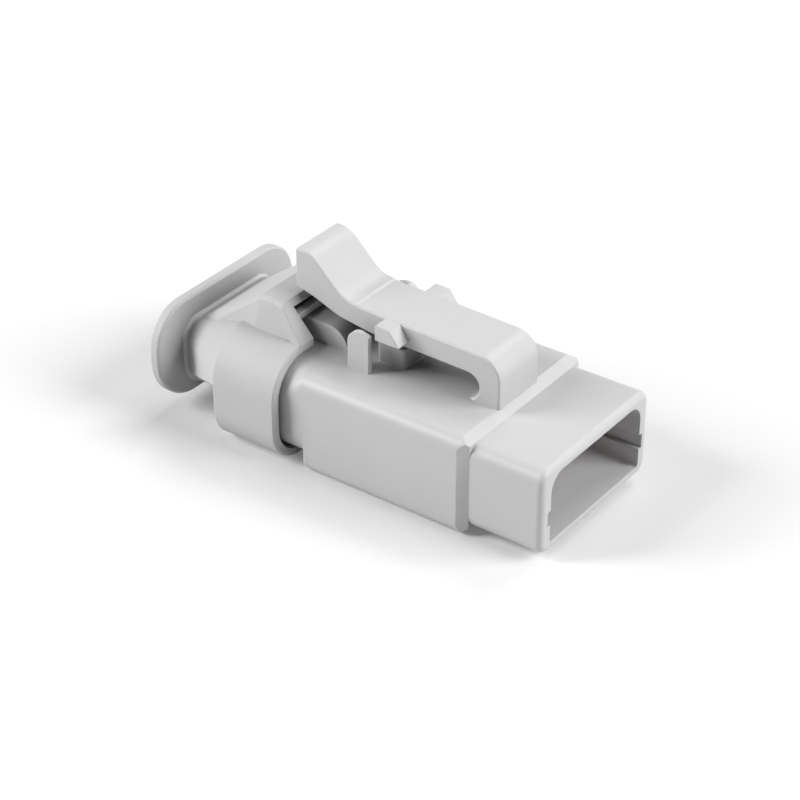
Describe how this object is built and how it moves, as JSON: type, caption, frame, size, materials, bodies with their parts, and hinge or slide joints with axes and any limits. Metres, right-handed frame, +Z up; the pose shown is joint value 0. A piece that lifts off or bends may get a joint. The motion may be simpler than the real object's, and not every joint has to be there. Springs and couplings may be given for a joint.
{
  "type": "in-line connector",
  "caption": "Sealed in-line wire connector: rectangular receptacle with open shroud, sprung latch arm with thumb tab, and a rear cap with an oblong boot flange.",
  "frame": {"origin": "on the resting plane below the shoulder where the body steps down to the shroud, on the centre line", "axes": "+X out of the mating mouth, +Y across the contact row, +Z up towards the latch arm"},
  "size_m": [0.0412, 0.0202, 0.0182],
  "materials": {
    "grey_moulding": "light grey moulded thermoplastic, satin",
    "orange_wedge": "orange moulded thermoplastic, satin",
    "seal_silicone": "orange silicone rubber, matte",
    "plated_contact": "nickel-plated copper alloy, fine satin"
  },
  "bodies": {
    "root": {"housing": "grey_moulding", "rear_cap": "grey_moulding", "wire_seal": "seal_silicone", "wedge_lock": "orange_wedge", "pin_contact_1": "plated_contact", "pin_contact_2": "plated_contact", "pin_contact_3": "plated_contact"}
  },
  "joints": []
}
